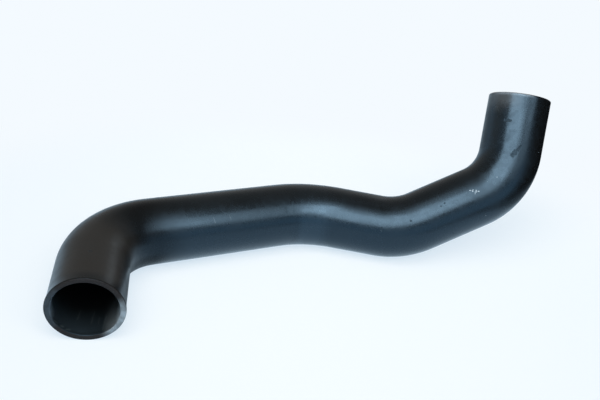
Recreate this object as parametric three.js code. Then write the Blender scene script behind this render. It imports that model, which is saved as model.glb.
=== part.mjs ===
import * as THREE from 'three';

// Charge air hose: one moulded rubber tube with four bends, lying on the floor.
// Millimetres and degrees, +Z up. The open mouth faces -Y and the long run goes off towards +X.
// The form is a hollow tube profile, swept round and carried along a route of runs and bends.

// Tube section
const boreDiameter = 55;
const wallThickness = 5;

// Mouth, stretched a little wider by the pipe bead that it was pushed over
const mouthFlare = 0.8;
const mouthFlareLength = 12;

// Rounding of the trimmed edges, outside and inside, at either end
const mouthEdgeRadius = 1.2;
const outletEdgeRadius = 1.4;

// Route, from the mouth to the outlet
const mouthLegLength = 56;
const elbowRadius = 64;
const elbowAngle = 73;
const longRunLength = 136;
const sweepRadius = 120;
const sweepAngle = 32;
const shortRunLength = 45;
const riseRadius = 80;
const riseAngle = 34;
const risingRunLength = 66;
const outletElbowRadius = 64;
const outletElbowAngle = 57;
const outletLegLength = 60;

// Leaning of each bend about the tube: 0 bends to the right, flat on the floor, and 90 bends up
const floorLean = 0;
const riseLean = 129;
const outletElbowLean = 118;

// Fineness of the facets
const sideCount = 44;
const bendStepAngle = 8;
const runStepLength = 34;
const flareStepCount = 4;
const edgeStepCount = 3;
const leastSpacing = 1;

const rubber = new THREE.MeshStandardMaterial({ color: 0x24272b, roughness: 0.48, metalness: 0 });

// Route

/** The next straight piece of the route, starting at a frame. */
function straightPiece(start, length) {
  const frameAt = (distance) => ({
    centre: start.centre.clone().addScaledVector(start.forward, distance),
    forward: start.forward.clone(),
    right: start.right.clone(),
  });
  return { length, stepCount: Math.ceil(length / runStepLength), frameAt };
}

/** The next bend of the route: an arc in the plane that leans about the tube by the given angle. */
function bentPiece(start, radius, angle, lean) {
  const inward = start.right.clone().applyAxisAngle(start.forward, -THREE.MathUtils.degToRad(lean));
  const hinge = new THREE.Vector3().crossVectors(start.forward, inward);
  const pivot = start.centre.clone().addScaledVector(inward, radius);
  const frameAt = (distance) => {
    const turn = distance / radius;
    const spoke = start.centre.clone().sub(pivot).applyAxisAngle(hinge, turn);
    return {
      centre: spoke.add(pivot),
      forward: start.forward.clone().applyAxisAngle(hinge, turn),
      right: start.right.clone().applyAxisAngle(hinge, turn),
    };
  };
  const length = radius * THREE.MathUtils.degToRad(angle);
  return { length, stepCount: Math.ceil(angle / bendStepAngle), frameAt };
}

/** Joins runs and bends end to end, and gives the whole length, the stations and the frame at a distance. */
function makeRoute(steps) {
  let frame = {
    centre: new THREE.Vector3(0, 0, 0),
    forward: new THREE.Vector3(0, 1, 0),
    right: new THREE.Vector3(1, 0, 0),
  };
  let length = 0;
  const pieces = [];
  const stations = [];
  for (const step of steps) {
    const piece = step(frame);
    pieces.push({ ...piece, from: length });
    for (let i = 0; i < piece.stepCount; i += 1) {
      stations.push(length + (piece.length * i) / piece.stepCount);
    }
    frame = piece.frameAt(piece.length);
    length += piece.length;
  }
  const frameAt = (distance) => {
    const piece = pieces.findLast((candidate) => candidate.from <= distance) ?? pieces[0];
    return piece.frameAt(distance - piece.from);
  };
  return { length, stations, frameAt };
}

const run = (length) => (start) => straightPiece(start, length);
const bend = (radius, angle, lean) => (start) => bentPiece(start, radius, angle, lean);

// Profile

/** How far the wall stands out at a distance from the mouth: the whole flare there, fading to none. */
function flareAt(distance) {
  const fade = THREE.MathUtils.clamp(1 - distance / mouthFlareLength, 0, 1);
  return mouthFlare * fade * fade;
}

/** Distances from the mouth at which the wall gets a ring, between its two rounded ends. */
function wallStations(route) {
  const flareSteps = Array.from({ length: flareStepCount + 1 }, (_, i) => (mouthFlareLength * i) / flareStepCount);
  const first = mouthEdgeRadius + leastSpacing;
  const last = route.length - outletEdgeRadius - leastSpacing;
  return [...flareSteps, ...route.stations]
    .filter((distance) => distance > first && distance < last)
    .sort((a, b) => a - b)
    .filter((distance, i, all) => i === 0 || distance - all[i - 1] > leastSpacing);
}

/** Quarter round of an edge as [distance, radius] points, from the given angle to 90 degrees more. */
function roundedEdge(centreDistance, centreRadius, edgeRadius, fromAngle) {
  return Array.from({ length: edgeStepCount + 1 }, (_, i) => {
    const angle = THREE.MathUtils.degToRad(fromAngle + (90 * i) / edgeStepCount);
    return [
      centreDistance + edgeRadius * Math.cos(angle),
      centreRadius + edgeRadius * Math.sin(angle),
    ];
  });
}

/** Closed profile of the wall as [distance, radius] points: out along the bore and back along the outside. */
function wallProfile(route) {
  const boreRadius = boreDiameter / 2;
  const outerRadius = boreRadius + wallThickness;
  const stations = wallStations(route);
  const bore = stations.map((distance) => [distance, boreRadius + flareAt(distance)]);
  const outside = stations.map((distance) => [distance, outerRadius + flareAt(distance)]).reverse();
  const mouth = mouthEdgeRadius;
  const outlet = route.length - outletEdgeRadius;
  return [
    ...bore,
    ...roundedEdge(outlet, boreRadius + outletEdgeRadius, outletEdgeRadius, -90),
    ...roundedEdge(outlet, outerRadius - outletEdgeRadius, outletEdgeRadius, 0),
    ...outside,
    ...roundedEdge(mouth, outerRadius + flareAt(mouth) - mouthEdgeRadius, mouthEdgeRadius, 90),
    ...roundedEdge(mouth, boreRadius + flareAt(mouth) + mouthEdgeRadius, mouthEdgeRadius, 180),
  ];
}

// Tube

/** Sweeps the closed profile round the route's axis, so that each profile point becomes a ring. */
function sweptTube(route, profile) {
  const positions = [];
  for (const [distance, radius] of profile) {
    const { centre, forward, right } = route.frameAt(distance);
    const up = new THREE.Vector3().crossVectors(right, forward);
    for (let side = 0; side < sideCount; side += 1) {
      const angle = (2 * Math.PI * side) / sideCount;
      const point = centre.clone();
      point.addScaledVector(right, radius * Math.cos(angle));
      point.addScaledVector(up, radius * Math.sin(angle));
      positions.push(point.x, point.y, point.z);
    }
  }
  const indices = [];
  for (let ring = 0; ring < profile.length; ring += 1) {
    const here = ring * sideCount;
    const next = ((ring + 1) % profile.length) * sideCount;
    for (let side = 0; side < sideCount; side += 1) {
      const after = (side + 1) % sideCount;
      indices.push(here + side, next + after, next + side);
      indices.push(here + side, here + after, next + after);
    }
  }
  const geometry = new THREE.BufferGeometry();
  geometry.setAttribute('position', new THREE.Float32BufferAttribute(positions, 3));
  geometry.setIndex(indices);
  geometry.computeVertexNormals();
  return geometry;
}

function makeHose() {
  const route = makeRoute([
    run(mouthLegLength),
    bend(elbowRadius, elbowAngle, floorLean),
    run(longRunLength),
    bend(sweepRadius, sweepAngle, floorLean),
    run(shortRunLength),
    bend(riseRadius, riseAngle, riseLean),
    run(risingRunLength),
    bend(outletElbowRadius, outletElbowAngle, outletElbowLean),
    run(outletLegLength),
  ]);
  const hose = new THREE.Mesh(sweptTube(route, wallProfile(route)), rubber);
  hose.name = 'charge_air_hose';
  return hose;
}

/** Stands the hose on the floor at z = 0, with the middle of its box over the origin. */
function standOnFloor(mesh) {
  mesh.geometry.computeBoundingBox();
  const { min, max } = mesh.geometry.boundingBox;
  mesh.position.set(-(min.x + max.x) / 2, -(min.y + max.y) / 2, -min.z);
}

const hose = makeHose();
standOnFloor(hose);

const model = new THREE.Group();
model.add(hose);

export default model;
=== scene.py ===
import math

import bpy
import numpy as np
from mathutils import Matrix, Vector, noise


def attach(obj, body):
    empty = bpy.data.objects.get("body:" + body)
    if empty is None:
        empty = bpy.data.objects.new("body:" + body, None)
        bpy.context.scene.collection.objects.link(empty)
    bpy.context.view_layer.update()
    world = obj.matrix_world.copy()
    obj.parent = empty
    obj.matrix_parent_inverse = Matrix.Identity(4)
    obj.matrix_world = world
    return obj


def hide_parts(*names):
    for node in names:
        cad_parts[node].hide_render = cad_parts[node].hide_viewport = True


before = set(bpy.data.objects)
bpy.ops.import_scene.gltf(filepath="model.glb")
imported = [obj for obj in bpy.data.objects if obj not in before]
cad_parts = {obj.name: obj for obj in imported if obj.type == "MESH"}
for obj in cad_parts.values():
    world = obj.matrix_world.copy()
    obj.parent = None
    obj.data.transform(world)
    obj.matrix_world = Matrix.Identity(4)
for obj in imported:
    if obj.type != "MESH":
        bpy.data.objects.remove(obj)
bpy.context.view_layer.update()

# Charge air hose: one moulded rubber tube lying on a pale floor, under a large soft light.
# Metres and degrees, +Z up. The open mouth faces -Y and the long run goes off towards +X.

# Tube section, as in the part's source
BORE_RADIUS = 0.0275
WALL_THICKNESS = 0.005
OUTER_RADIUS = BORE_RADIUS + WALL_THICKNESS
MOUTH_FLARE = 0.0008
MOUTH_FLARE_LENGTH = 0.012
MOUTH_EDGE_RADIUS = 0.0012
OUTLET_EDGE_RADIUS = 0.0014

# Middle of the mouth, with the hose's box standing on the floor round the origin
MOUTH_CENTRE = Vector((-0.2152564, -0.1147458, 0.0331484))

# Leaning of a bend about the tube: 0 bends to the right, flat on the floor, and 90 bends up
FLOOR_LEAN = 0
RISE_LEAN = 129
OUTLET_ELBOW_LEAN = 118

# Route from the mouth to the outlet: runs by length, bends by radius, angle and lean
ROUTE = [
    ("run", 0.056),
    ("bend", 0.064, 73, FLOOR_LEAN),
    ("run", 0.136),
    ("bend", 0.120, 32, FLOOR_LEAN),
    ("run", 0.045),
    ("bend", 0.080, 34, RISE_LEAN),
    ("run", 0.066),
    ("bend", 0.064, 57, OUTLET_ELBOW_LEAN),
    ("run", 0.060),
]

# Fineness of the mesh
SIDE_COUNT = 112
STEP_LENGTH = 0.0032
FLARE_STEP_LENGTH = 0.002
EDGE_SEGMENTS = 4
SMOOTH_ANGLE = 40

# Differences below which two lengths, two corners or two radii count as the same
SAME_LENGTH = 1e-9
SAME_CORNER = 1e-5
SAME_RADIUS = 1e-4

# How far off a flat end its corners may be, and how deep under the tube's radius the outer skin may be
FLAT_REACH = 0.0009
SKIN_REACH = 0.0002

# Unevenness of the moulded skin: depth, and the size of its lumps round and along the tube
LUMP_DEPTH = 0.00022
LUMP_SIZE = (0.045, 0.060)
RIDGE_DEPTH = 0.00006
RIDGE_SIZE = (0.009, 0.110)
RIDGE_SHIFT = 7
FLOOR_CLEARANCE = 0.010

# Camera of the photograph
IMAGE_WIDTH = 600
FOCAL_LENGTH_PIXELS = 693.973
SENSOR_WIDTH = 36
NEAREST_SEEN = 0.01
CAMERA_PLACE = Vector((-0.15521, -0.56916, 0.42781))
CAMERA_HEADING = 12.823
CAMERA_DOWN = 30.81
CAMERA_ROLL = 9.524

# Rubber: colours as shares of light sent back
RUBBER_IOR = 1.62
# Blue tint of all the rubber's reflections, a painted stand-in for the light's bluish colour
PAINTED_BLUE_LIGHT_TINT = (0.50, 0.76, 1.0)
SKIN_DARK = (0.0030, 0.0030, 0.0030)
SKIN_LIGHT = (0.0055, 0.0052, 0.0048)
DUST_COLOUR = (0.0170, 0.0140, 0.0115)
WORN_COLOUR = (0.062, 0.061, 0.060)
# Painted highlight along the outlet's rounded top edge
EDGE_PAINTED_HIGHLIGHT_COLOUR = (0.15, 0.16, 0.17)
SCUFF_COLOUR = (0.42, 0.45, 0.47)
CHIP_COLOUR = (0.004, 0.005, 0.005)
LINING_COLOUR = (0.003, 0.003, 0.003)
BORE_DUST_COLOUR = (0.0070, 0.0092, 0.0105)
BORE_STREAK_COLOUR = (0.034, 0.040, 0.040)
CUT_DARK = (0.0145, 0.0120, 0.0110)
CUT_LIGHT = (0.0230, 0.0180, 0.0160)
# Painted light on the bore's right side and on the mouth's rim, and a painted sheen on the bore's left side
# and on the rim's left
PAINTED_LIGHT_COLOUR = (0.085, 0.090, 0.090)
BRIGHTEST_PAINTED_LIGHT_COLOUR = (0.22, 0.235, 0.245)
PAINTED_SHEEN_COLOUR = (0.085, 0.100, 0.115)
RIM_PAINTED_SHEEN_COLOUR = (0.035, 0.042, 0.048)

# How strongly marks and streaks cover what is under them
LIGHT_MARK_COVER = 0.85
FAINT_MARK_COVER = 0.08
BORE_STREAK_COVER = 0.5

# Gloss: levels, what stained and handled parts lose or gain, the share that the painted shade on the mouth
# leg's right side takes from gloss and from the dust's colour, and the shares that dull parts lose
PLAIN_SPECULAR = 0.5
DUSTY_SPECULAR = 0.27
CUT_SPECULAR = 0.05
BORE_SPECULAR = (0.15, 0.5)
STAINED_GAIN = -0.13
HANDLED_GAIN = 0.16
PAINTED_SHADE_LOSS = 0.7
DULLED_LOSS = 0.4
LEG_LOSS = 0.5
SKIN_EDGE_GLOSS = (0.3, 1.0)

# Roughness: least and most over the lumps, and what is added under dull things and marks
SKIN_ROUGHNESS = (0.23, 0.30)
BORE_ROUGHNESS = (0.34, 0.44)
CUT_ROUGHNESS = (0.5, 0.65)
DULL_ROUGHER = 0.08
MARK_ROUGHER = 0.3

# Bump: height of the grain, dimples and streaks, and depth of the chips
SKIN_GRAIN_HEIGHT = 0.000006
DIMPLE_HEIGHT = 0.00003
STREAK_HEIGHT = 0.00003
CHIP_DEPTH = 0.0002
BORE_STREAK_HEIGHT = 0.00004
CUT_GRAIN_HEIGHT = 0.00003

# Sizes of soft noise, how much of it is fine, and the parts of its range that are used
BROAD_LUMP_SIZE = 0.03
DIMPLE_SIZE = 0.010
SMUDGE_SIZE = 0.007
SOFT_DETAIL = 2.0
FINE_DETAIL = 3.0
NOISE_MIDDLE = 0.5
LUMP_RANGE = (0.3, 0.7)
# Range of the lumps over which the painted light and sheen at the mouth turn patchy
PAINTED_PATCH_RANGE = (0.35, 0.65)
SMUDGE_RANGE = (0.44, 0.62)
# Least share of the painted light and sheen at the mouth that shows
LEAST_PAINTED_SHARE = 0.6
STREAK_SQUEEZE = 0.05
BOUNDARY_WOBBLE = 0.006

# Strokes: shares of the width where a stroke is full and gone, and how far its noise reaches
STROKE_FULL = 0.35
STROKE_GONE = 0.65
RAGGED_REACH = 4.0

# Inputs of the shared effects where they differ: unevenness of the bore and the cut ends, and dust films
BORE_UNEVENNESS = {"Streak Width": 0.006}
CUT_UNEVENNESS = {"Lump Size": 0.006, "Grain Size": 0.0006}
MOUTH_FILM = {"Full Until": 0.070, "None After": 0.112}
BORE_FILM = {"Full Until": 0.010, "None After": 0.036}
OUTLET_FILM = {"Full Until": 0.624, "None After": 0.597, "Patchy": 0.010, "Patch Size": 0.008}

# Other changes along the tube, each between two distances from the mouth
SKIN_EDGE_ENDS = (0.0008, 0.0030)
FILM_STARTS = (0.003, 0.014)
FILM_AT_EDGE = 0.2
# Painted shade on the mouth leg's right side ends over this span
PAINTED_SHADE_ENDS = (0.050, 0.085)
STAINED_STARTS = (0.100, 0.122)
STAINED_ENDS = (0.137, 0.156)
PLAIN_STARTS = (0.142, 0.178)
HANDLED_STARTS = (0.286, 0.298)
HANDLED_ENDS = (0.316, 0.340)
DULLED_STARTS = (0.335, 0.355)
DULLED_ENDS = (0.385, 0.405)
SMUDGES_STRONGER = (0.47, 0.56)
WEAK_SMUDGES = 0.5
LEG_STARTS = (0.548, 0.572)
# Painted highlight along the outlet's top edge starts over this span
PAINTED_HIGHLIGHT_STARTS = (0.6185, 0.6222)
BORE_EDGE_ENDS = (0.0010, 0.0060)
# Painted light and painted sheen at the mouth, in the bore and on the rim, fade out over these spans
PAINTED_LIGHT_ENDS = (-0.006, 0.048)
PAINTED_SHEEN_ENDS = (0.002, 0.012)
MOUTH_CUT_ENDS = (0.05, 0.10)

# Parts round the tube: angle of the middle up from the right, and how far from it they are full and gone
# Painted shade on the mouth leg's right side
PAINTED_SHADE_RIGHT = (2, 14, 34)
STAINED_TOP = (60, 22, 45)
DULLED_TOP = (58, 6, 15)
LEG_LEFT = (128, 14, 34)
WORN_LEFT = (118, 50, 85)
# Painted highlight round the top of the outlet's edge
PAINTED_HIGHLIGHT_TOP = (62, 22, 46)
# Painted light and painted sheen round the bore and round the mouth's rim
PAINTED_LIGHT_RIGHT = (-12, 22, 52)
BRIGHTEST_LIGHT_SIDE = (4, 14, 36)
PAINTED_SHEEN_SIDE = (165, 12, 42)
RIM_PAINTED_LIGHT_RIGHT = (-20, 10, 50)
RIM_PAINTED_SHEEN_LEFT = (176, 20, 48)

# Floor: the white that the camera sees, and the bluish white that it sends to the hose
BACKGROUND_COLOUR = (0.904, 0.956, 1.0)
FLOOR_BOUNCE_COLOUR = (0.64, 0.84, 1.0)
FLOOR_SIZE = 12
PAPER_ROUGHNESS = 0.9

# Shares of the white that the hose's shadows can darken, and the oval round the hose where they do
FLOOR_SHADE_SHARE = (0.34, 0.26, 0.19)
SHADE_AREA = (0.42, 0.30)
SHADE_AREA_FADE = (0.75, 1.25)

# How brightly the lamps light the floor: at the middle, its change towards +X and +Y, and its curve
FLOOR_LEVEL = 1.13
FLOOR_LEVEL_RISE = (-0.40, -1.23)
FLOOR_LEVEL_CURVE = 0.2

# Glow of the floor in reflections, and what is left of it under painted shade beside the mouth, to the right
# and behind
FLOOR_GLOW = 1.15
MOUTH_SHADE_PLACE = (-0.180, -0.038, 0.0)
MOUTH_SHADE_REACH = (0.020, 0.048)
MOUTH_SHADE_SHARE = 0.4
RIGHT_SHADE = (0.27, 0.36)
RIGHT_SHADE_SHARE = 0.3
BACK_SHADE = (0.10, 0.25)
BACK_SHADE_SHARE = 0.7

# Room: its colour, dimmer overhead than low down, and another colour on the camera's side
ROOM_COLOUR = (1.0, 0.97, 0.93)
ROOM_FRONT_COLOUR = (0.55, 0.92, 1.22)
ROOM_LOW = 0.41
ROOM_HIGH = 0.18
ROOM_HEIGHTS = (0.05, 0.75)
ROOM_FRONT = (0.2, -0.5)

# Black card at the right, which fades in along Y
CARD_PLACE = Vector((0.44, -0.10, 0.18))
CARD_WIDTH = 0.9
CARD_HEIGHT = 0.36
CARD_FADE = (-0.33, -0.03)
CARD_COLOUR = (0.01, 0.01, 0.01, 1)

# Point that the lamps face, and their colours
HOSE_MIDDLE = Vector((0, 0, 0.07))
SOFTBOX_COLOUR = (0.93, 0.98, 1.0)
FILL_COLOUR = (0.48, 0.78, 1.0)

# Softboxes: azimuth, elevation and distance from the hose, size, radiance and colour
SOFTBOXES = {
    "main_softbox": (207, 52.5, 0.80, (0.72, 0.68), 5.5, SOFTBOX_COLOUR),
    "lower_right_softbox": (163, 44.5, 0.84, (0.24, 0.24), 4.7, SOFTBOX_COLOUR),
    "overhead_glow": (218, 80, 0.90, (0.60, 0.40), 1.2, SOFTBOX_COLOUR),
    "right_wing": (139, 46, 1.40, (0.58, 0.86), 2.5, SOFTBOX_COLOUR),
    "front_fill": (165, 11, 1.30, (1.70, 0.60), 0.55, FILL_COLOUR),
    "back_glow": (33, 19, 1.50, (0.45, 0.38), 1.0, SOFTBOX_COLOUR),
}


# Camera


def make_camera():
    """The photograph's viewpoint: its heading, its look down and its small roll."""
    data = bpy.data.cameras.new("photo_camera")
    data.sensor_width = SENSOR_WIDTH
    data.lens = FOCAL_LENGTH_PIXELS * SENSOR_WIDTH / IMAGE_WIDTH
    data.clip_start = NEAREST_SEEN
    camera = bpy.data.objects.new("photo_camera", data)
    turn = Matrix.Rotation(math.radians(-CAMERA_HEADING), 4, "Z")
    turn = turn @ Matrix.Rotation(math.radians(90 - CAMERA_DOWN), 4, "X")
    turn = turn @ Matrix.Rotation(math.radians(CAMERA_ROLL), 4, "Z")
    camera.matrix_world = Matrix.Translation(CAMERA_PLACE) @ turn
    bpy.context.scene.collection.objects.link(camera)
    bpy.context.scene.camera = camera


# Route


class Station:
    """A place on the tube's centreline, with the way forward and the right-hand side there."""

    def __init__(self, centre, forward, right, distance):
        self.centre = centre
        self.forward = forward
        self.right = right
        self.distance = distance

    @property
    def up(self):
        return self.right.cross(self.forward)


class Run:
    """A straight piece of the route."""

    def __init__(self, start, length):
        self.start = start
        self.length = length
        centre = start.centre + start.forward * length
        self.end = Station(centre, start.forward, start.right, start.distance + length)

    def straighten(self, points):
        """Sideways, lengthwise and upward places of points by this run, and how far they are from it."""
        start = self.start
        forward = np.array(start.forward)
        offset = points - np.array(start.centre)
        along = np.clip(offset @ forward, 0, self.length)
        offset = offset - along[:, None] * forward
        places = np.stack(
            [offset @ np.array(start.right), start.distance + along, offset @ np.array(start.up)], axis=1
        )
        return places, np.linalg.norm(offset, axis=1)


class Bend:
    """A bent piece of the route: an arc in the plane that leans about the tube."""

    def __init__(self, start, radius, angle, lean):
        self.start = start
        self.radius = radius
        self.angle = math.radians(angle)
        self.length = radius * self.angle
        inward = Matrix.Rotation(math.radians(-lean), 3, start.forward) @ start.right
        self.pivot = start.centre + inward * radius
        self.hinge = start.forward.cross(inward)
        turn = Matrix.Rotation(self.angle, 3, self.hinge)
        centre = self.pivot + turn @ (start.centre - self.pivot)
        self.end = Station(
            centre, turn @ start.forward, turn @ start.right, start.distance + self.length
        )

    def straighten(self, points):
        """Sideways, lengthwise and upward places of points by this bend, and how far they are from it."""
        start = self.start
        hinge = np.array(self.hinge)
        spoke = np.array(start.centre - self.pivot)
        arm = points - np.array(self.pivot)
        turned = np.arctan2(arm @ np.array(start.forward) * self.radius, arm @ spoke)
        turned = np.clip(turned, 0, self.angle)

        def carried(vector):
            still = hinge * (hinge @ vector)
            across = np.cross(hinge, vector)
            turning = vector - still
            return still + np.cos(turned)[:, None] * turning + np.sin(turned)[:, None] * across

        offset = arm - carried(spoke)
        sideways = np.sum(offset * carried(np.array(start.right)), axis=1)
        upward = np.sum(offset * carried(np.array(start.up)), axis=1)
        places = np.stack([sideways, start.distance + turned * self.radius, upward], axis=1)
        return places, np.linalg.norm(offset, axis=1)


def make_route():
    """The route's pieces from the mouth on, each starting where the last one ends."""
    station = Station(MOUTH_CENTRE, Vector((0, 1, 0)), Vector((1, 0, 0)), 0)
    pieces = []
    for kind, *sizes in ROUTE:
        piece = Run(station, *sizes) if kind == "run" else Bend(station, *sizes)
        pieces.append(piece)
        station = piece.end
    return pieces


def straightened(points, route):
    """Where points would be if the tube were pulled straight: to the right, from the mouth on, and up."""
    best = np.full(len(points), np.inf)
    places = np.zeros((len(points), 3))
    for piece in route:
        candidate, away = piece.straighten(points)
        nearer = away < best
        places[nearer] = candidate[nearer]
        best[nearer] = away[nearer]
    return places


# Modelling helpers


def deselect_all():
    if bpy.context.object and bpy.context.object.mode != "OBJECT":
        bpy.ops.object.mode_set(mode="OBJECT")
    bpy.ops.object.select_all(action="DESELECT")


def make_active(piece):
    deselect_all()
    piece.select_set(True)
    bpy.context.view_layer.objects.active = piece


def vertex_places(mesh):
    places = np.empty(len(mesh.vertices) * 3)
    mesh.vertices.foreach_get("co", places)
    return places.reshape(-1, 3)


def select_edges(piece, wanted):
    """Selects the edges of a piece for which wanted(first corner, second corner) holds."""
    make_active(piece)
    bpy.ops.object.mode_set(mode="EDIT")
    bpy.ops.mesh.select_mode(type="EDGE")
    bpy.ops.mesh.select_all(action="DESELECT")
    bpy.ops.object.mode_set(mode="OBJECT")
    corners = piece.data.vertices
    for edge in piece.data.edges:
        first, second = (corners[i].co for i in edge.vertices)
        edge.select = wanted(first, second)
    bpy.ops.object.mode_set(mode="EDIT")


# Hose


def ring_at_mouth(start):
    """The tube's first ring: a primitive circle that stands in the mouth's plane."""
    deselect_all()
    bpy.ops.mesh.primitive_circle_add(
        vertices=SIDE_COUNT,
        radius=OUTER_RADIUS + MOUTH_FLARE,
        fill_type="NOTHING",
        location=start.centre,
        rotation=(math.radians(90), 0, 0),
    )
    hose = bpy.context.object
    hose.name = "hose"
    hose.data.name = "hose"
    bpy.ops.object.transform_apply(location=True, rotation=True, scale=True)
    return hose


def flare_at(distance):
    fade = max(0, 1 - distance / MOUTH_FLARE_LENGTH)
    return MOUTH_FLARE * fade * fade


def extrude_run(run):
    """Carries the selected ring straight on in short steps, and takes it in where the mouth's flare ends."""
    distance = 0
    while distance < run.length - SAME_LENGTH:
        in_flare = run.start.distance + distance < MOUTH_FLARE_LENGTH - SAME_LENGTH
        steps_left = math.ceil((run.length - distance) / STEP_LENGTH - SAME_LENGTH)
        step = FLARE_STEP_LENGTH if in_flare else (run.length - distance) / steps_left
        bpy.ops.mesh.extrude_edges_move(TRANSFORM_OT_translate={"value": run.start.forward * step})
        before = OUTER_RADIUS + flare_at(run.start.distance + distance)
        distance += step
        after = OUTER_RADIUS + flare_at(run.start.distance + distance)
        if in_flare:
            centre = run.start.centre + run.start.forward * distance
            bpy.ops.transform.resize(value=(after / before,) * 3, center_override=centre)


def spin_bend(bend):
    """Carries the selected ring round the bend."""
    bpy.ops.mesh.spin(
        steps=math.ceil(bend.length / STEP_LENGTH),
        angle=-bend.angle,
        center=bend.pivot,
        axis=bend.hinge,
    )


def give_wall(hose):
    """Gives the skin its wall inwards, with the bore's lining and the cut ends as materials of their own."""
    make_active(hose)
    wall = hose.modifiers.new("wall", "SOLIDIFY")
    wall.thickness = WALL_THICKNESS
    wall.offset = -1
    wall.use_even_offset = True
    wall.material_offset = 1
    wall.material_offset_rim = 2
    bpy.ops.object.modifier_apply(modifier=wall.name)


def flatten_end(hose, station, outward):
    """Brings back into the end's plane what the wall's thickening pushed out of it."""
    for vertex in hose.data.vertices:
        beyond = (vertex.co - station.centre).dot(outward)
        if abs(beyond) < FLAT_REACH:
            vertex.co -= outward * beyond


def round_edges(hose, station, edge_radius):
    """Rounds the outer and the inner edge of one end of the tube."""

    def on_edge(first, second):
        arms = (first - station.centre, second - station.centre)
        in_plane = all(abs(arm.dot(station.forward)) < SAME_CORNER for arm in arms)
        return in_plane and abs(arms[0].length - arms[1].length) < SAME_RADIUS

    select_edges(hose, on_edge)
    bpy.ops.mesh.bevel(offset=edge_radius, segments=EDGE_SEGMENTS, affect="EDGES")
    bpy.ops.object.mode_set(mode="OBJECT")


def lump_height(place):
    """How far the moulded skin stands out at a straightened place: broad lumps and lengthwise ridges."""
    sideways, along, upward = place
    wide, long = LUMP_SIZE
    lumps = noise.noise(Vector((sideways / wide, along / long, upward / wide)))
    narrow, drawn_out = RIDGE_SIZE
    ridges = noise.noise(Vector((sideways / narrow, along / drawn_out + RIDGE_SHIFT, upward / narrow)))
    return LUMP_DEPTH * lumps + RIDGE_DEPTH * ridges


def uneven_skin(hose, route):
    """Raises and lowers the outer skin a little, and leaves it alone near the floor."""
    mesh = hose.data
    places = straightened(vertex_places(mesh), route)
    distance_out = np.hypot(places[:, 0], places[:, 2])
    normals = [vertex.normal.copy() for vertex in mesh.vertices]
    for vertex, normal, place, out in zip(mesh.vertices, normals, places, distance_out):
        if out > OUTER_RADIUS - SKIN_REACH:
            share = min(1, vertex.co.z / FLOOR_CLEARANCE)
            vertex.co += normal * lump_height(place) * share


def keep_straightened_places(hose, route):
    """Writes each point's straightened place on the mesh, for the patterns that follow the tube."""
    mesh = hose.data
    places = straightened(vertex_places(mesh), route)
    attribute = mesh.attributes.new("straightened", "FLOAT_VECTOR", "POINT")
    attribute.data.foreach_set("vector", places.ravel())


def make_hose(route, materials):
    """The whole hose: a ring carried along the route, given its wall, its rounded ends and its skin."""
    hose = ring_at_mouth(route[0].start)
    for material in materials:
        hose.data.materials.append(material)
    bpy.ops.object.mode_set(mode="EDIT")
    bpy.ops.mesh.select_mode(type="VERT")
    bpy.ops.mesh.select_all(action="SELECT")
    for piece in route:
        if isinstance(piece, Run):
            extrude_run(piece)
        else:
            spin_bend(piece)
    bpy.ops.mesh.select_all(action="SELECT")
    bpy.ops.mesh.remove_doubles(threshold=SAME_CORNER)
    bpy.ops.mesh.normals_make_consistent(inside=False)
    bpy.ops.object.mode_set(mode="OBJECT")
    give_wall(hose)
    flatten_end(hose, route[0].start, -route[0].start.forward)
    flatten_end(hose, route[-1].end, route[-1].end.forward)
    round_edges(hose, route[0].start, MOUTH_EDGE_RADIUS)
    round_edges(hose, route[-1].end, OUTLET_EDGE_RADIUS)
    keep_straightened_places(hose, route)
    uneven_skin(hose, route)
    make_active(hose)
    bpy.ops.object.shade_smooth_by_angle(angle=math.radians(SMOOTH_ANGLE))
    return hose


# Material helpers

# Places of a Mix node's sockets for colours
MIX_SHARE = 0
MIX_FIRST = 6
MIX_SECOND = 7
MIX_RESULT = 2


def add_node(tree, kind, **settings):
    made = tree.nodes.new("ShaderNode" + kind)
    for key, value in settings.items():
        setattr(made, key, value)
    return made


def feed(tree, source, target):
    """Links a socket to an input, or writes a plain value there."""
    if isinstance(source, bpy.types.NodeSocket):
        tree.links.new(source, target)
    else:
        target.default_value = source


def maths(tree, operation, first, second=0.0, clamp=False):
    made = add_node(tree, "Math", operation=operation, use_clamp=clamp)
    feed(tree, first, made.inputs[0])
    feed(tree, second, made.inputs[1])
    return made.outputs["Value"]


def vectors(tree, operation, first, second=(0.0, 0.0, 0.0)):
    made = add_node(tree, "VectorMath", operation=operation)
    feed(tree, first, made.inputs[0])
    feed(tree, second, made.inputs[1])
    return made.outputs["Value"] if operation in ("DOT_PRODUCT", "LENGTH") else made.outputs["Vector"]


def scaled(tree, vector, factor):
    made = add_node(tree, "VectorMath", operation="SCALE")
    feed(tree, vector, made.inputs[0])
    feed(tree, factor, made.inputs["Scale"])
    return made.outputs["Vector"]


def ramp(tree, value, start, end, low=0.0, high=1.0):
    """Goes smoothly from low to high while the value goes from start to end."""
    made = add_node(tree, "MapRange", interpolation_type="SMOOTHSTEP")
    labels = ("Value", "From Min", "From Max", "To Min", "To Max")
    for label, source in zip(labels, (value, start, end, low, high)):
        feed(tree, source, made.inputs[label])
    return made.outputs["Result"]


def fading(tree, value, span):
    """1 before a span of the value and 0 after it."""
    return ramp(tree, value, *span, 1.0, 0.0)


def product(tree, *factors):
    """All the factors multiplied together."""
    whole, *others = factors
    for factor in others:
        whole = maths(tree, "MULTIPLY", whole, factor)
    return whole


def raised(tree, value, mask, amount):
    """The value, with an amount added where the mask is 1."""
    return maths(tree, "ADD", value, maths(tree, "MULTIPLY", mask, amount))


def lessened(tree, value, mask, share):
    """The value, with a share of it taken away where the mask is 1."""
    left = maths(tree, "SUBTRACT", 1.0, maths(tree, "MULTIPLY", mask, share))
    return maths(tree, "MULTIPLY", value, left)


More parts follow.
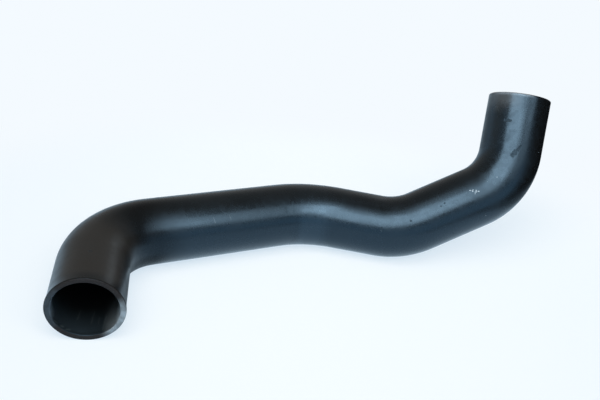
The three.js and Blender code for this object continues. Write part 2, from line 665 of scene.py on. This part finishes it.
def mixed_colour(tree, share, first, second):
    """The first colour where the share is 0, and the second where it is 1."""
    made = add_node(tree, "Mix", data_type="RGBA")
    feed(tree, share, made.inputs[MIX_SHARE])
    for source, target in ((first, made.inputs[MIX_FIRST]), (second, made.inputs[MIX_SECOND])):
        feed(tree, (*source, 1.0) if isinstance(source, tuple) else source, target)
    return made.outputs[MIX_RESULT]


def layered_colour(tree, colour, layers):
    """A colour with others laid over it one by one, each where its mask is 1."""
    for mask, over in layers:
        colour = mixed_colour(tree, mask, colour, over)
    return colour


def cloud(tree, place, size, detail=SOFT_DETAIL):
    """Soft noise between 0 and 1 with lumps of about the given size."""
    made = add_node(tree, "TexNoise")
    made.inputs["Scale"].default_value = 1.0
    made.inputs["Detail"].default_value = detail
    feed(tree, scaled(tree, place, maths(tree, "DIVIDE", 1.0, size)), made.inputs["Vector"])
    return made.outputs["Fac"]


def new_material(name):
    """An empty material with its Principled BSDF, and the tree to build in."""
    material = bpy.data.materials.new(name)
    material.use_nodes = True
    tree = material.node_tree
    tree.nodes.clear()
    output = add_node(tree, "OutputMaterial")
    shader = add_node(tree, "BsdfPrincipled")
    tree.links.new(shader.outputs["BSDF"], output.inputs["Surface"])
    return material, tree, shader


def new_group(name, inputs, outputs):
    """A node group with named sockets. Inputs are given by name and first value, and vectors by three."""
    tree = bpy.data.node_groups.new(name, "ShaderNodeTree")
    for label, value in inputs.items():
        kind = "NodeSocketVector" if isinstance(value, tuple) else "NodeSocketFloat"
        tree.interface.new_socket(label, in_out="INPUT", socket_type=kind).default_value = value
    for label in outputs:
        tree.interface.new_socket(label, in_out="OUTPUT", socket_type="NodeSocketFloat")
    return tree, tree.nodes.new("NodeGroupInput").outputs, tree.nodes.new("NodeGroupOutput").inputs


def place_group(tree, group, values):
    """Places a group in a material with its own values, and gives its outputs."""
    made = tree.nodes.new("ShaderNodeGroup")
    made.node_tree = group
    for label, value in values.items():
        feed(tree, value, made.inputs[label])
    return made.outputs


def on_tube(distance, angle, radius):
    """Straightened place at a distance from the mouth, in millimetres, and an angle up from the right."""
    turn = math.radians(angle)
    return (radius * math.cos(turn), distance / 1000, radius * math.sin(turn))


def along_tube(tree, place):
    """Distance from the mouth of a straightened place."""
    parts = add_node(tree, "SeparateXYZ")
    feed(tree, place, parts.inputs["Vector"])
    return parts.outputs["Y"]


def around_tube(tree, place, middle, full, gone):
    """1 near an angle up from the right: full up to one number of degrees from it, and gone at another."""
    turn = math.radians(middle)
    flat = vectors(tree, "MULTIPLY", place, (1.0, 0.0, 1.0))
    outward = vectors(tree, "NORMALIZE", flat)
    aligned = vectors(tree, "DOT_PRODUCT", outward, (math.cos(turn), 0.0, math.sin(turn)))
    return ramp(tree, aligned, math.cos(math.radians(gone)), math.cos(math.radians(full)))


# Effects that the rubber's materials share


def make_unevenness_group():
    """Moulded rubber's uneven surface: broad lumps, streaks drawn out along the tube, and fine grain."""
    inputs = {
        "Place": (0.0, 0.0, 0.0),
        "Lump Size": BROAD_LUMP_SIZE,
        "Streak Width": 0.004,
        "Grain Size": 0.0009,
    }
    tree, given, result = new_group("moulded_unevenness", inputs, ["Lumps", "Streaks", "Grain"])
    drawn_out = vectors(tree, "MULTIPLY", given["Place"], (1.0, STREAK_SQUEEZE, 1.0))
    feed(tree, cloud(tree, given["Place"], given["Lump Size"], FINE_DETAIL), result["Lumps"])
    feed(tree, cloud(tree, drawn_out, given["Streak Width"]), result["Streaks"])
    feed(tree, cloud(tree, given["Place"], given["Grain Size"], FINE_DETAIL), result["Grain"])
    return tree


def make_stroke_group():
    """A ragged stroke from one place on the tube to another: a scuff, a chip, a scratch or a speck."""
    inputs = {
        "Place": (0.0, 0.0, 0.0),
        "From": (0.0, 0.0, 0.0),
        "To": (0.0, 0.0, 0.0),
        "Width": 0.001,
        "Ragged": 0.0005,
        "Grain Size": 0.0015,
    }
    tree, given, result = new_group("ragged_stroke", inputs, ["Mask"])
    reach = vectors(tree, "SUBTRACT", given["To"], given["From"])
    arm = vectors(tree, "SUBTRACT", given["Place"], given["From"])
    square = maths(tree, "ADD", vectors(tree, "DOT_PRODUCT", reach, reach), SAME_LENGTH)
    share = maths(tree, "DIVIDE", vectors(tree, "DOT_PRODUCT", arm, reach), square, clamp=True)
    away = vectors(tree, "LENGTH", vectors(tree, "SUBTRACT", arm, scaled(tree, reach, share)))
    rough = maths(tree, "SUBTRACT", cloud(tree, given["Place"], given["Grain Size"]), NOISE_MIDDLE)
    away = raised(tree, away, rough, maths(tree, "MULTIPLY", given["Ragged"], RAGGED_REACH))
    full = maths(tree, "MULTIPLY", given["Width"], STROKE_FULL)
    gone = maths(tree, "MULTIPLY", given["Width"], STROKE_GONE)
    feed(tree, fading(tree, away, (full, gone)), result["Mask"])
    return tree


def make_dust_group():
    """Dust film that is whole up to one distance from the mouth, gone after another, and patchy between."""
    inputs = {
        "Place": (0.0, 0.0, 0.0),
        "Full Until": 0.05,
        "None After": 0.10,
        "Patch Size": 0.02,
        "Patchy": 0.02,
    }
    tree, given, result = new_group("dust_film", inputs, ["Mask"])
    patches = cloud(tree, given["Place"], given["Patch Size"], FINE_DETAIL)
    patches = maths(tree, "SUBTRACT", patches, NOISE_MIDDLE)
    shifted = raised(tree, along_tube(tree, given["Place"]), patches, given["Patchy"])
    feed(tree, fading(tree, shifted, (given["Full Until"], given["None After"])), result["Mask"])
    return tree


# Rubber

# Marks in millimetres and degrees: distance and angle where one starts and ends, width, raggedness
LIGHT_MARKS = [
    (487.6, 51.3, 488.6, 50.2, 0.9, 0.3),
    (489.7, 48.6, 490.3, 47.6, 0.9, 0.3),
    (490.9, 50.0, 491.3, 49.5, 0.6, 0.2),
    (491.8, 44.6, 493.2, 44.0, 1.1, 0.3),
    (493.4, 47.0, 493.9, 46.4, 0.7, 0.2),
    (494.9, 43.4, 495.8, 42.8, 0.9, 0.3),
    (491.0, 42.0, 491.4, 41.4, 0.6, 0.2),
    (523.9, 46.7, 524.2, 46.4, 0.6, 0.2),
    (511.0, 51.3, 511.3, 51.0, 0.4, 0.1),
    (494.3, -6.4, 494.9, -5.9, 0.5, 0.2),
    (566.0, -14.0, 566.3, -13.8, 0.5, 0.1),
]
FAINT_MARKS = [
    (195.0, 44.8, 196.0, 35.8, 0.8, 0.2),
    (211.5, 45.7, 212.5, 37.5, 0.7, 0.2),
]
DARK_MARKS = [
    (556.9, 41.6, 561.2, 38.0, 4.8, 0.8),
    (561.2, 38.0, 567.2, 31.2, 2.8, 0.7),
    (592.9, 67.0, 592.7, 58.0, 2.5, 0.7),
    (488.5, -7.3, 495.5, -2.9, 1.0, 0.2),
    (418.0, 40.3, 418.6, 39.8, 1.6, 0.3),
    (453.0, 45.8, 453.6, 45.4, 0.9, 0.2),
    (458.0, 48.3, 458.6, 48.0, 0.9, 0.2),
    (388.1, 24.8, 388.6, 24.4, 1.6, 0.4),
    (455.5, -16.7, 456.5, -16.5, 1.2, 0.3),
    (38.0, 91.5, 38.0, 87.5, 0.8, 0.2),
    (2.5, 101.5, 3.0, 84.5, 0.9, 0.2),
]
DULL_MARKS = [
    (272.0, 57.0, 272.5, 37.0, 2.6, 0.5),
    (283.0, 56.0, 283.5, 38.0, 3.0, 0.6),
    (582.2, 55.0, 583.0, 44.0, 3.0, 0.9),
    (598.0, 57.0, 603.0, 49.0, 3.5, 0.9),
    (571.0, 58.0, 575.0, 52.0, 4.0, 1.0),
]
BORE_MARKS = [
    (15.0, -84.0, 30.0, -81.0, 0.9, 0.3),
    (18.0, -109.0, 30.0, -106.0, 0.8, 0.3),
    (4.0, -61.0, 19.0, -57.0, 1.1, 0.4),
    (13.0, -71.0, 21.0, -70.0, 0.6, 0.2),
    (1.8, -152.0, 2.2, -145.0, 1.3, 0.6),
    (2.4, -136.0, 3.0, -132.0, 1.9, 0.6),
    (2.4, -123.0, 3.0, -118.0, 1.8, 0.6),
]


def marks_mask(tree, place, stroke, marks, radius=OUTER_RADIUS):
    """All the marks of a list in one mask, on the tube's outside or at another radius."""
    whole = None
    for start, start_angle, end, end_angle, width, ragged in marks:
        values = {
            "Place": place,
            "From": on_tube(start, start_angle, radius),
            "To": on_tube(end, end_angle, radius),
            "Width": width / 1000,
            "Ragged": ragged / 1000,
        }
        mask = place_group(tree, stroke, values)["Mask"]
        whole = mask if whole is None else maths(tree, "MAXIMUM", whole, mask)
    return whole


def straightened_place(tree):
    return add_node(tree, "Attribute", attribute_name="straightened").outputs["Vector"]


def set_rubber_gloss(shader):
    """The rubber's gloss, the same all over, with its reflections tinted blue as a painted stand-in for the
    light's bluish colour.
    """
    shader.inputs["IOR"].default_value = RUBBER_IOR
    shader.inputs["Specular Tint"].default_value = (*PAINTED_BLUE_LIGHT_TINT, 1)


def bumped(tree, shader, height):
    """Feeds a height in metres to the shader's normal."""
    bump = add_node(tree, "Bump")
    bump.inputs["Distance"].default_value = 1.0
    feed(tree, height, bump.inputs["Height"])
    feed(tree, bump.outputs["Normal"], shader.inputs["Normal"])


def lumpy(tree, surface, span):
    """A value that follows the surface's lumps from the span's first to its second."""
    return ramp(tree, surface["Lumps"], *LUMP_RANGE, *span)


def painted_light_patches(tree, surface):
    """Share of the painted light and sheen that shows: all of it on some lumps and less on others."""
    return ramp(tree, surface["Lumps"], *PAINTED_PATCH_RANGE, LEAST_PAINTED_SHARE, 1.0)


def stretch(tree, distance, starts, ends):
    """1 along a stretch of the tube that starts and ends over the given distances."""
    return product(tree, ramp(tree, distance, *starts), fading(tree, distance, ends))


def skin_gloss(tree, place, along, painted_shade):
    """Gloss level of the skin: low under the dust, lowered by the painted shade on the mouth leg's right
    side, and changed where it was stained, handled or dulled.
    """
    wobble = cloud(tree, place, BROAD_LUMP_SIZE, FINE_DETAIL)
    dusty = raised(tree, along, wobble, BOUNDARY_WOBBLE)
    stained = stretch(tree, dusty, STAINED_STARTS, STAINED_ENDS)
    stained = product(tree, stained, around_tube(tree, place, *STAINED_TOP))
    handled = stretch(tree, along, HANDLED_STARTS, HANDLED_ENDS)
    dulled = stretch(tree, along, DULLED_STARTS, DULLED_ENDS)
    dulled = product(tree, dulled, around_tube(tree, place, *DULLED_TOP))
    leg = product(tree, ramp(tree, along, *LEG_STARTS), around_tube(tree, place, *LEG_LEFT))
    gloss = ramp(tree, dusty, *PLAIN_STARTS, DUSTY_SPECULAR, PLAIN_SPECULAR)
    gloss = raised(tree, gloss, stained, STAINED_GAIN)
    gloss = raised(tree, gloss, handled, HANDLED_GAIN)
    for mask, share in ((painted_shade, PAINTED_SHADE_LOSS), (dulled, DULLED_LOSS), (leg, LEG_LOSS)):
        gloss = lessened(tree, gloss, mask, share)
    return product(tree, gloss, ramp(tree, along, *SKIN_EDGE_ENDS, *SKIN_EDGE_GLOSS))


def make_skin(unevenness, stroke, dust):
    """The moulded outside: black satin rubber with a dusty mouth end, scuffs, chips and smudges, painted
    shade on the mouth leg's right side and a painted highlight along the outlet's top edge.
    """
    material, tree, shader = new_material("hose_skin")
    set_rubber_gloss(shader)
    place = straightened_place(tree)
    along = along_tube(tree, place)
    surface = place_group(tree, unevenness, {"Place": place})
    light, faint, dark, dull = (
        marks_mask(tree, place, stroke, marks)
        for marks in (LIGHT_MARKS, FAINT_MARKS, DARK_MARKS, DULL_MARKS)
    )
    # Painted shade on the right side of the mouth leg, where it faces the floor in the hose's shadow: less
    # gloss and less of the dust's colour
    painted_shade = product(tree, fading(tree, along, PAINTED_SHADE_ENDS), around_tube(tree, place, *PAINTED_SHADE_RIGHT))
    film = place_group(tree, dust, {"Place": place, **MOUTH_FILM})["Mask"]
    film = product(tree, film, ramp(tree, along, *FILM_STARTS, FILM_AT_EDGE, 1.0))
    # Painted shade takes away part of the dust's colour
    film = lessened(tree, film, painted_shade, PAINTED_SHADE_LOSS)
    worn = place_group(tree, dust, {"Place": place, **OUTLET_FILM})["Mask"]
    worn = product(tree, worn, around_tube(tree, place, *WORN_LEFT))
    # Painted highlight along the outlet's rounded top edge
    painted_edge_highlight = ramp(tree, along, *PAINTED_HIGHLIGHT_STARTS)
    painted_edge_highlight = product(tree, painted_edge_highlight, around_tube(tree, place, *PAINTED_HIGHLIGHT_TOP))
    smudges = ramp(tree, cloud(tree, place, SMUDGE_SIZE, FINE_DETAIL), *SMUDGE_RANGE)
    smudges = product(tree, smudges, ramp(tree, along, *SMUDGES_STRONGER, WEAK_SMUDGES, 1.0))

    layers = (
        (film, DUST_COLOUR),
        (worn, WORN_COLOUR),
        (painted_edge_highlight, EDGE_PAINTED_HIGHLIGHT_COLOUR),
        (dark, CHIP_COLOUR),
        (product(tree, faint, FAINT_MARK_COVER), SCUFF_COLOUR),
        (product(tree, light, LIGHT_MARK_COVER), SCUFF_COLOUR),
    )
    plain = mixed_colour(tree, surface["Lumps"], SKIN_DARK, SKIN_LIGHT)
    feed(tree, layered_colour(tree, plain, layers), shader.inputs["Base Color"])
    feed(tree, skin_gloss(tree, place, along, painted_shade), shader.inputs["Specular IOR Level"])

    rough = lumpy(tree, surface, SKIN_ROUGHNESS)
    for mask in (film, dull, smudges):
        rough = raised(tree, rough, mask, DULL_ROUGHER)
    rough = raised(tree, rough, maths(tree, "MAXIMUM", light, dark), MARK_ROUGHER)
    feed(tree, rough, shader.inputs["Roughness"])

    height = product(tree, surface["Grain"], SKIN_GRAIN_HEIGHT)
    height = raised(tree, height, cloud(tree, place, DIMPLE_SIZE), DIMPLE_HEIGHT)
    height = raised(tree, height, surface["Streaks"], STREAK_HEIGHT)
    bumped(tree, shader, raised(tree, height, dark, -CHIP_DEPTH))
    return material


def make_lining(unevenness, stroke, dust):
    """The bore: darker and duller, with a few dusty streaks, a painted sheen on its left side near the mouth
    and painted light on its right side.
    """
    material, tree, shader = new_material("bore_lining")
    set_rubber_gloss(shader)
    place = straightened_place(tree)
    along = along_tube(tree, place)
    surface = place_group(tree, unevenness, {"Place": place, **BORE_UNEVENNESS})
    painted_patches = painted_light_patches(tree, surface)
    film = place_group(tree, dust, {"Place": place, **BORE_FILM})["Mask"]
    streaks = marks_mask(tree, place, stroke, BORE_MARKS, BORE_RADIUS)
    # Painted sheen on the bore's left side and painted light on its right side, near the mouth
    painted_sheen = product(tree, fading(tree, along, PAINTED_SHEEN_ENDS), painted_patches)
    painted_light = product(tree, fading(tree, along, PAINTED_LIGHT_ENDS), painted_patches)
    layers = (
        (film, BORE_DUST_COLOUR),
        (product(tree, streaks, BORE_STREAK_COVER), BORE_STREAK_COLOUR),
        (product(tree, painted_sheen, around_tube(tree, place, *PAINTED_SHEEN_SIDE)), PAINTED_SHEEN_COLOUR),
        (product(tree, painted_light, around_tube(tree, place, *PAINTED_LIGHT_RIGHT)), PAINTED_LIGHT_COLOUR),
        (product(tree, painted_light, around_tube(tree, place, *BRIGHTEST_LIGHT_SIDE)), BRIGHTEST_PAINTED_LIGHT_COLOUR),
    )
    feed(tree, layered_colour(tree, LINING_COLOUR, layers), shader.inputs["Base Color"])
    feed(tree, lumpy(tree, surface, BORE_ROUGHNESS), shader.inputs["Roughness"])
    gloss = ramp(tree, along, *BORE_EDGE_ENDS, *BORE_SPECULAR)
    feed(tree, gloss, shader.inputs["Specular IOR Level"])
    bumped(tree, shader, product(tree, surface["Streaks"], BORE_STREAK_HEIGHT))
    return material


def make_cut_end(unevenness):
    """The trimmed ends: dull rubber with fine ragged grain, with painted light at the right of the mouth's
    rim and a painted sheen at its left.
    """
    material, tree, shader = new_material("cut_end")
    set_rubber_gloss(shader)
    shader.inputs["Specular IOR Level"].default_value = CUT_SPECULAR
    place = straightened_place(tree)
    surface = place_group(tree, unevenness, {"Place": place, **CUT_UNEVENNESS})
    # Painted light and sheen on the mouth's rim
    rim_painted_light = fading(tree, along_tube(tree, place), MOUTH_CUT_ENDS)
    rim_painted_light = product(tree, rim_painted_light, painted_light_patches(tree, surface))
    layers = (
        (product(tree, rim_painted_light, around_tube(tree, place, *RIM_PAINTED_SHEEN_LEFT)), RIM_PAINTED_SHEEN_COLOUR),
        (product(tree, rim_painted_light, around_tube(tree, place, *RIM_PAINTED_LIGHT_RIGHT)), BRIGHTEST_PAINTED_LIGHT_COLOUR),
    )
    plain = mixed_colour(tree, surface["Lumps"], CUT_DARK, CUT_LIGHT)
    feed(tree, layered_colour(tree, plain, layers), shader.inputs["Base Color"])
    feed(tree, lumpy(tree, surface, CUT_ROUGHNESS), shader.inputs["Roughness"])
    bumped(tree, shader, product(tree, surface["Grain"], CUT_GRAIN_HEIGHT))
    return material


# Floor


def mirrored_glow(tree, place):
    """How bright reflections see the floor: dimmed by painted shade beside the mouth, off to the right and
    behind the hose.
    """
    parts = add_node(tree, "SeparateXYZ")
    feed(tree, place, parts.inputs["Vector"])
    away = vectors(tree, "LENGTH", vectors(tree, "SUBTRACT", place, MOUTH_SHADE_PLACE))
    return product(
        tree,
        FLOOR_GLOW,
        ramp(tree, away, *MOUTH_SHADE_REACH, MOUTH_SHADE_SHARE, 1.0),
        ramp(tree, parts.outputs["X"], *RIGHT_SHADE, 1.0, RIGHT_SHADE_SHARE),
        ramp(tree, parts.outputs["Y"], *BACK_SHADE, 1.0, BACK_SHADE_SHARE),
    )


def lamp_level(tree, place):
    """How brightly the lamps light the floor at a place."""
    slope = vectors(tree, "DOT_PRODUCT", place, (*FLOOR_LEVEL_RISE, 0.0))
    across = vectors(tree, "MULTIPLY", place, (0.0, 1.0, 0.0))
    level = maths(tree, "ADD", slope, FLOOR_LEVEL)
    return raised(tree, level, vectors(tree, "DOT_PRODUCT", across, across), FLOOR_LEVEL_CURVE)


def make_floor_material():
    """White paper. The camera sees it evenly white, but for the hose's shadows close to the hose."""
    material, tree, shader = new_material("floor_paper")
    shader.inputs["Roughness"].default_value = PAPER_ROUGHNESS
    shader.inputs["Specular IOR Level"].default_value = 0
    shader.inputs["Emission Strength"].default_value = 1
    place = add_node(tree, "TexCoord").outputs["Object"]
    wide, deep = SHADE_AREA
    away = vectors(tree, "LENGTH", vectors(tree, "MULTIPLY", place, (1 / wide, 1 / deep, 0.0)))
    most_shade = vectors(tree, "MULTIPLY", FLOOR_SHADE_SHARE, BACKGROUND_COLOUR)
    shade = scaled(tree, most_shade, fading(tree, away, SHADE_AREA_FADE))
    plain = vectors(tree, "SUBTRACT", BACKGROUND_COLOUR, shade)
    lit = scaled(tree, shade, maths(tree, "DIVIDE", 1.0, lamp_level(tree, place)))

    rays = add_node(tree, "LightPath").outputs
    mirrored = maths(tree, "MAXIMUM", rays["Is Glossy Ray"], rays["Is Transmission Ray"])
    bounce = scaled(tree, FLOOR_BOUNCE_COLOUR, maths(tree, "SUBTRACT", 1.0, mirrored))
    glow = scaled(tree, FLOOR_BOUNCE_COLOUR, product(tree, mirrored, mirrored_glow(tree, place)))
    feed(tree, mixed_colour(tree, rays["Is Camera Ray"], bounce, lit), shader.inputs["Base Color"])
    feed(tree, mixed_colour(tree, rays["Is Camera Ray"], glow, plain), shader.inputs["Emission Color"])
    return material


def make_floor():
    deselect_all()
    bpy.ops.mesh.primitive_plane_add(size=FLOOR_SIZE, location=(0, 0, 0))
    floor = bpy.context.object
    floor.name = "floor"
    floor.data.materials.append(make_floor_material())


# Lights


def direction(azimuth, elevation):
    """Unit vector towards an azimuth, clockwise from +Y, and an elevation."""
    flat = math.cos(math.radians(elevation))
    turn = math.radians(azimuth)
    return Vector((flat * math.sin(turn), flat * math.cos(turn), math.sin(math.radians(elevation))))


def facing_hose(azimuth, elevation, distance):
    """Place and turn of something flat that faces the hose from a direction."""
    towards = direction(azimuth, elevation)
    turn = towards.to_track_quat("Z", "Y").to_matrix().to_4x4()
    return Matrix.Translation(HOSE_MIDDLE + towards * distance) @ turn


def add_softbox(name, azimuth, elevation, distance, size, radiance, colour):
    """A rectangular lamp that faces the hose. Its power gives the wanted radiance over its face."""
    data = bpy.data.lights.new(name, "AREA")
    data.shape = "RECTANGLE"
    data.size, data.size_y = size
    data.energy = math.pi * size[0] * size[1] * radiance
    data.color = colour
    lamp = bpy.data.objects.new(name, data)
    lamp.matrix_world = facing_hose(azimuth, elevation, distance)
    lamp.visible_camera = False
    bpy.context.scene.collection.objects.link(lamp)


def make_card():
    """A black card at the right that only reflections see, as a photographer's flag darkens that side."""
    deselect_all()
    bpy.ops.mesh.primitive_plane_add(size=1, location=(0, 0, 0))
    card = bpy.context.object
    card.name = "black_flag"
    card.matrix_world = (
        Matrix.Translation(CARD_PLACE)
        @ Matrix.Rotation(math.radians(90), 4, "Y")
        @ Matrix.Diagonal((CARD_HEIGHT, CARD_WIDTH, 1, 1))
    )
    material, tree, shader = new_material("black_card")
    parts = add_node(tree, "SeparateXYZ")
    feed(tree, add_node(tree, "NewGeometry").outputs["Position"], parts.inputs["Vector"])
    feed(tree, ramp(tree, parts.outputs["Y"], *CARD_FADE), shader.inputs["Alpha"])
    shader.inputs["Base Color"].default_value = CARD_COLOUR
    shader.inputs["Roughness"].default_value = PAPER_ROUGHNESS
    shader.inputs["Specular IOR Level"].default_value = 0
    card.data.materials.append(material)
    card.visible_camera = False
    card.visible_diffuse = False
    card.visible_shadow = False


def make_world():
    """A dim room: lighter near the horizon and darker overhead."""
    world = bpy.data.worlds.new("studio")
    bpy.context.scene.world = world
    world.use_nodes = True
    tree = world.node_tree
    parts = add_node(tree, "SeparateXYZ")
    feed(tree, add_node(tree, "TexCoord").outputs["Generated"], parts.inputs["Vector"])
    strength = ramp(tree, parts.outputs["Z"], *ROOM_HEIGHTS, ROOM_LOW, ROOM_HIGH)
    front = ramp(tree, parts.outputs["Y"], *ROOM_FRONT)
    room = scaled(tree, mixed_colour(tree, front, ROOM_COLOUR, ROOM_FRONT_COLOUR), strength)
    seen = add_node(tree, "LightPath").outputs["Is Camera Ray"]
    colour = mixed_colour(tree, seen, room, BACKGROUND_COLOUR)
    feed(tree, colour, tree.nodes["Background"].inputs["Color"])


def make_lights():
    for name, values in SOFTBOXES.items():
        add_softbox(name, *values)
    make_card()
    make_world()


make_camera()
route = make_route()
unevenness = make_unevenness_group()
stroke = make_stroke_group()
dust = make_dust_group()
rubber = [
    make_skin(unevenness, stroke, dust),
    make_lining(unevenness, stroke, dust),
    make_cut_end(unevenness),
]
hose = make_hose(route, rubber)
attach(hose, "root")
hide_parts("charge_air_hose")
make_floor()
make_lights()
bpy.context.scene.view_settings.view_transform = "Standard"
